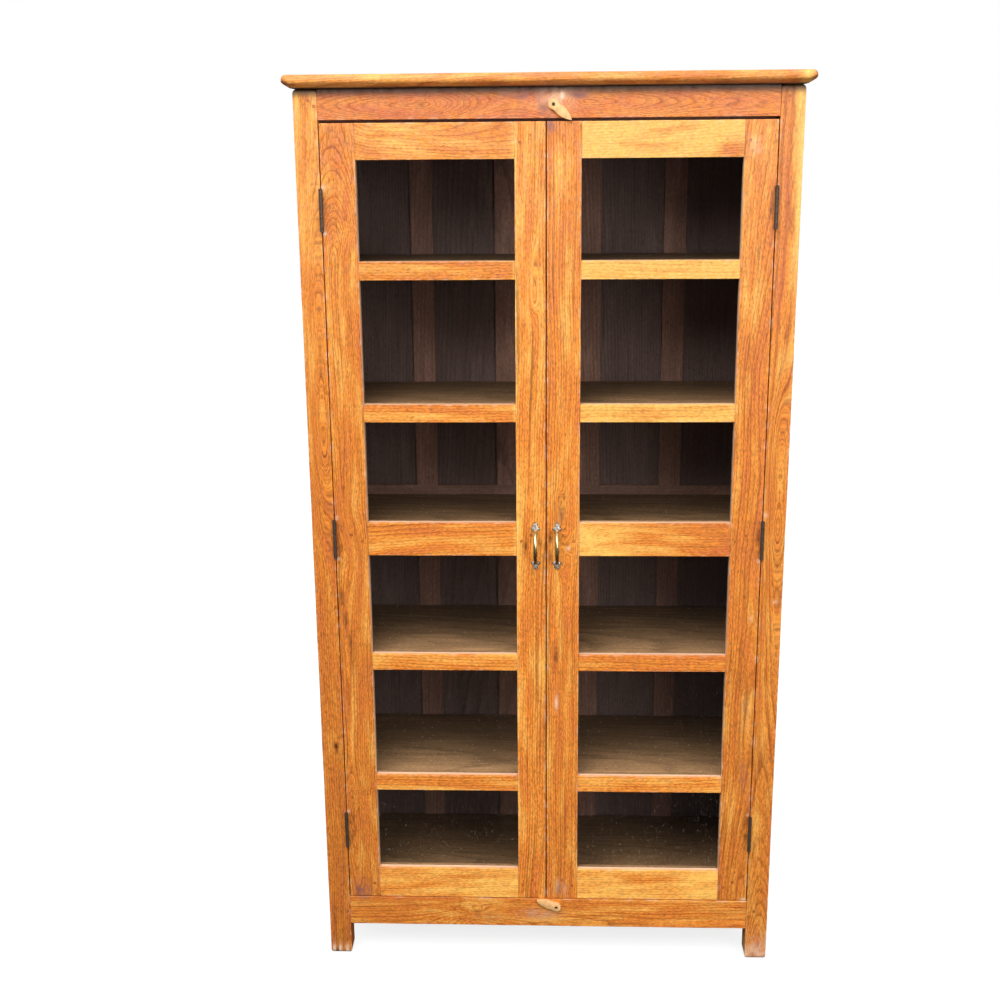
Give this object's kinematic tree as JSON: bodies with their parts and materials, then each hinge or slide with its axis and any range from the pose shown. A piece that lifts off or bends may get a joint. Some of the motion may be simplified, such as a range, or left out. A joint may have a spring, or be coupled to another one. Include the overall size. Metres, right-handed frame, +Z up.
{
  "type": "glass-front cabinet",
  "caption": "Tall teak display cabinet with a pair of glazed doors on butt hinges, shelves, bow pulls, turn buttons, and a framed and panelled back and sides.",
  "frame": {"origin": "on the floor, in the middle of the whole outline", "axes": "+X to the right across the front, +Y to the back, +Z up"},
  "size_m": [0.954, 0.39, 1.7905],
  "materials": {
    "teak": "worn oiled teak",
    "inner_teak": "bare dusty teak",
    "pale_wood": "bare carved wood",
    "peg_wood": "end grain",
    "glass": "clear window glass",
    "brass": "cast and worn",
    "iron": "dull and rusty"
  },
  "bodies": {
    "carcass": {"back_bottom_rail": "inner_teak", "back_left_post": "teak", "back_mid_rail": "inner_teak", "back_muntins": "inner_teak", "back_panels": "inner_teak", "back_right_post": "teak", "back_top_rail": "inner_teak", "bottom_board": "inner_teak", "button_nails": "iron", "door_stop": "inner_teak", "frame_pegs": "peg_wood", "front_bottom_rail": "teak", "front_left_post": "teak", "front_right_post": "teak", "head_rail": "teak", "hinge_pins": "iron", "left_post_hinge_leaves": "iron", "left_side_bottom_rail": "teak", "left_side_mid_rail": "teak", "left_side_muntins": "teak", "left_side_panels": "teak", "left_side_top_rail": "teak", "right_post_hinge_leaves": "iron", "right_side_bottom_rail": "teak", "right_side_mid_rail": "teak", "right_side_muntins": "teak", "right_side_panels": "teak", "right_side_top_rail": "teak", "shelf_1": "inner_teak", "shelf_2": "inner_teak", "shelf_3": "inner_teak", "shelf_4": "inner_teak", "shelf_5": "inner_teak", "shelf_cleats": "inner_teak", "top_board": "teak"},
    "left_door": {"left_hinge_stile": "teak", "left_meeting_stile": "teak", "left_door_top_rail": "teak", "left_door_lock_rail": "teak", "left_door_bottom_rail": "teak", "left_glazing_bars": "teak", "left_panes": "glass", "left_glazing_beads": "teak", "left_door_pegs": "peg_wood", "left_door_hinge_leaves": "iron", "left_pull": "brass"},
    "right_door": {"right_hinge_stile": "teak", "right_meeting_stile": "teak", "right_door_top_rail": "teak", "right_door_lock_rail": "teak", "right_door_bottom_rail": "teak", "right_glazing_bars": "teak", "right_panes": "glass", "right_glazing_beads": "teak", "right_door_pegs": "peg_wood", "right_door_hinge_leaves": "iron", "right_pull": "brass"},
    "top_button": {"top_turn_button": "pale_wood"},
    "bottom_button": {"bottom_turn_button": "pale_wood"}
  },
  "joints": [
    {"name": "left_door_swing", "type": "hinge", "parent": "carcass", "child": "left_door", "pos_m": [-0.41525, -0.1689, 0.9215], "axis": [0, 0, -1], "range_deg": [0, 170]},
    {"name": "right_door_swing", "type": "hinge", "parent": "carcass", "child": "right_door", "pos_m": [0.41525, -0.1689, 0.9215], "axis": [0, 0, 1], "range_deg": [0, 170]},
    {"name": "top_button_turn", "type": "hinge", "parent": "carcass", "child": "top_button", "pos_m": [0.011, -0.1695, 1.7357], "axis": [0, -1, 0], "range_deg": [-175, 75]},
    {"name": "bottom_button_turn", "type": "hinge", "parent": "carcass", "child": "bottom_button", "pos_m": [0.019, -0.1695, 0.11981], "axis": [0, -1, 0], "continuous": true}
  ]
}
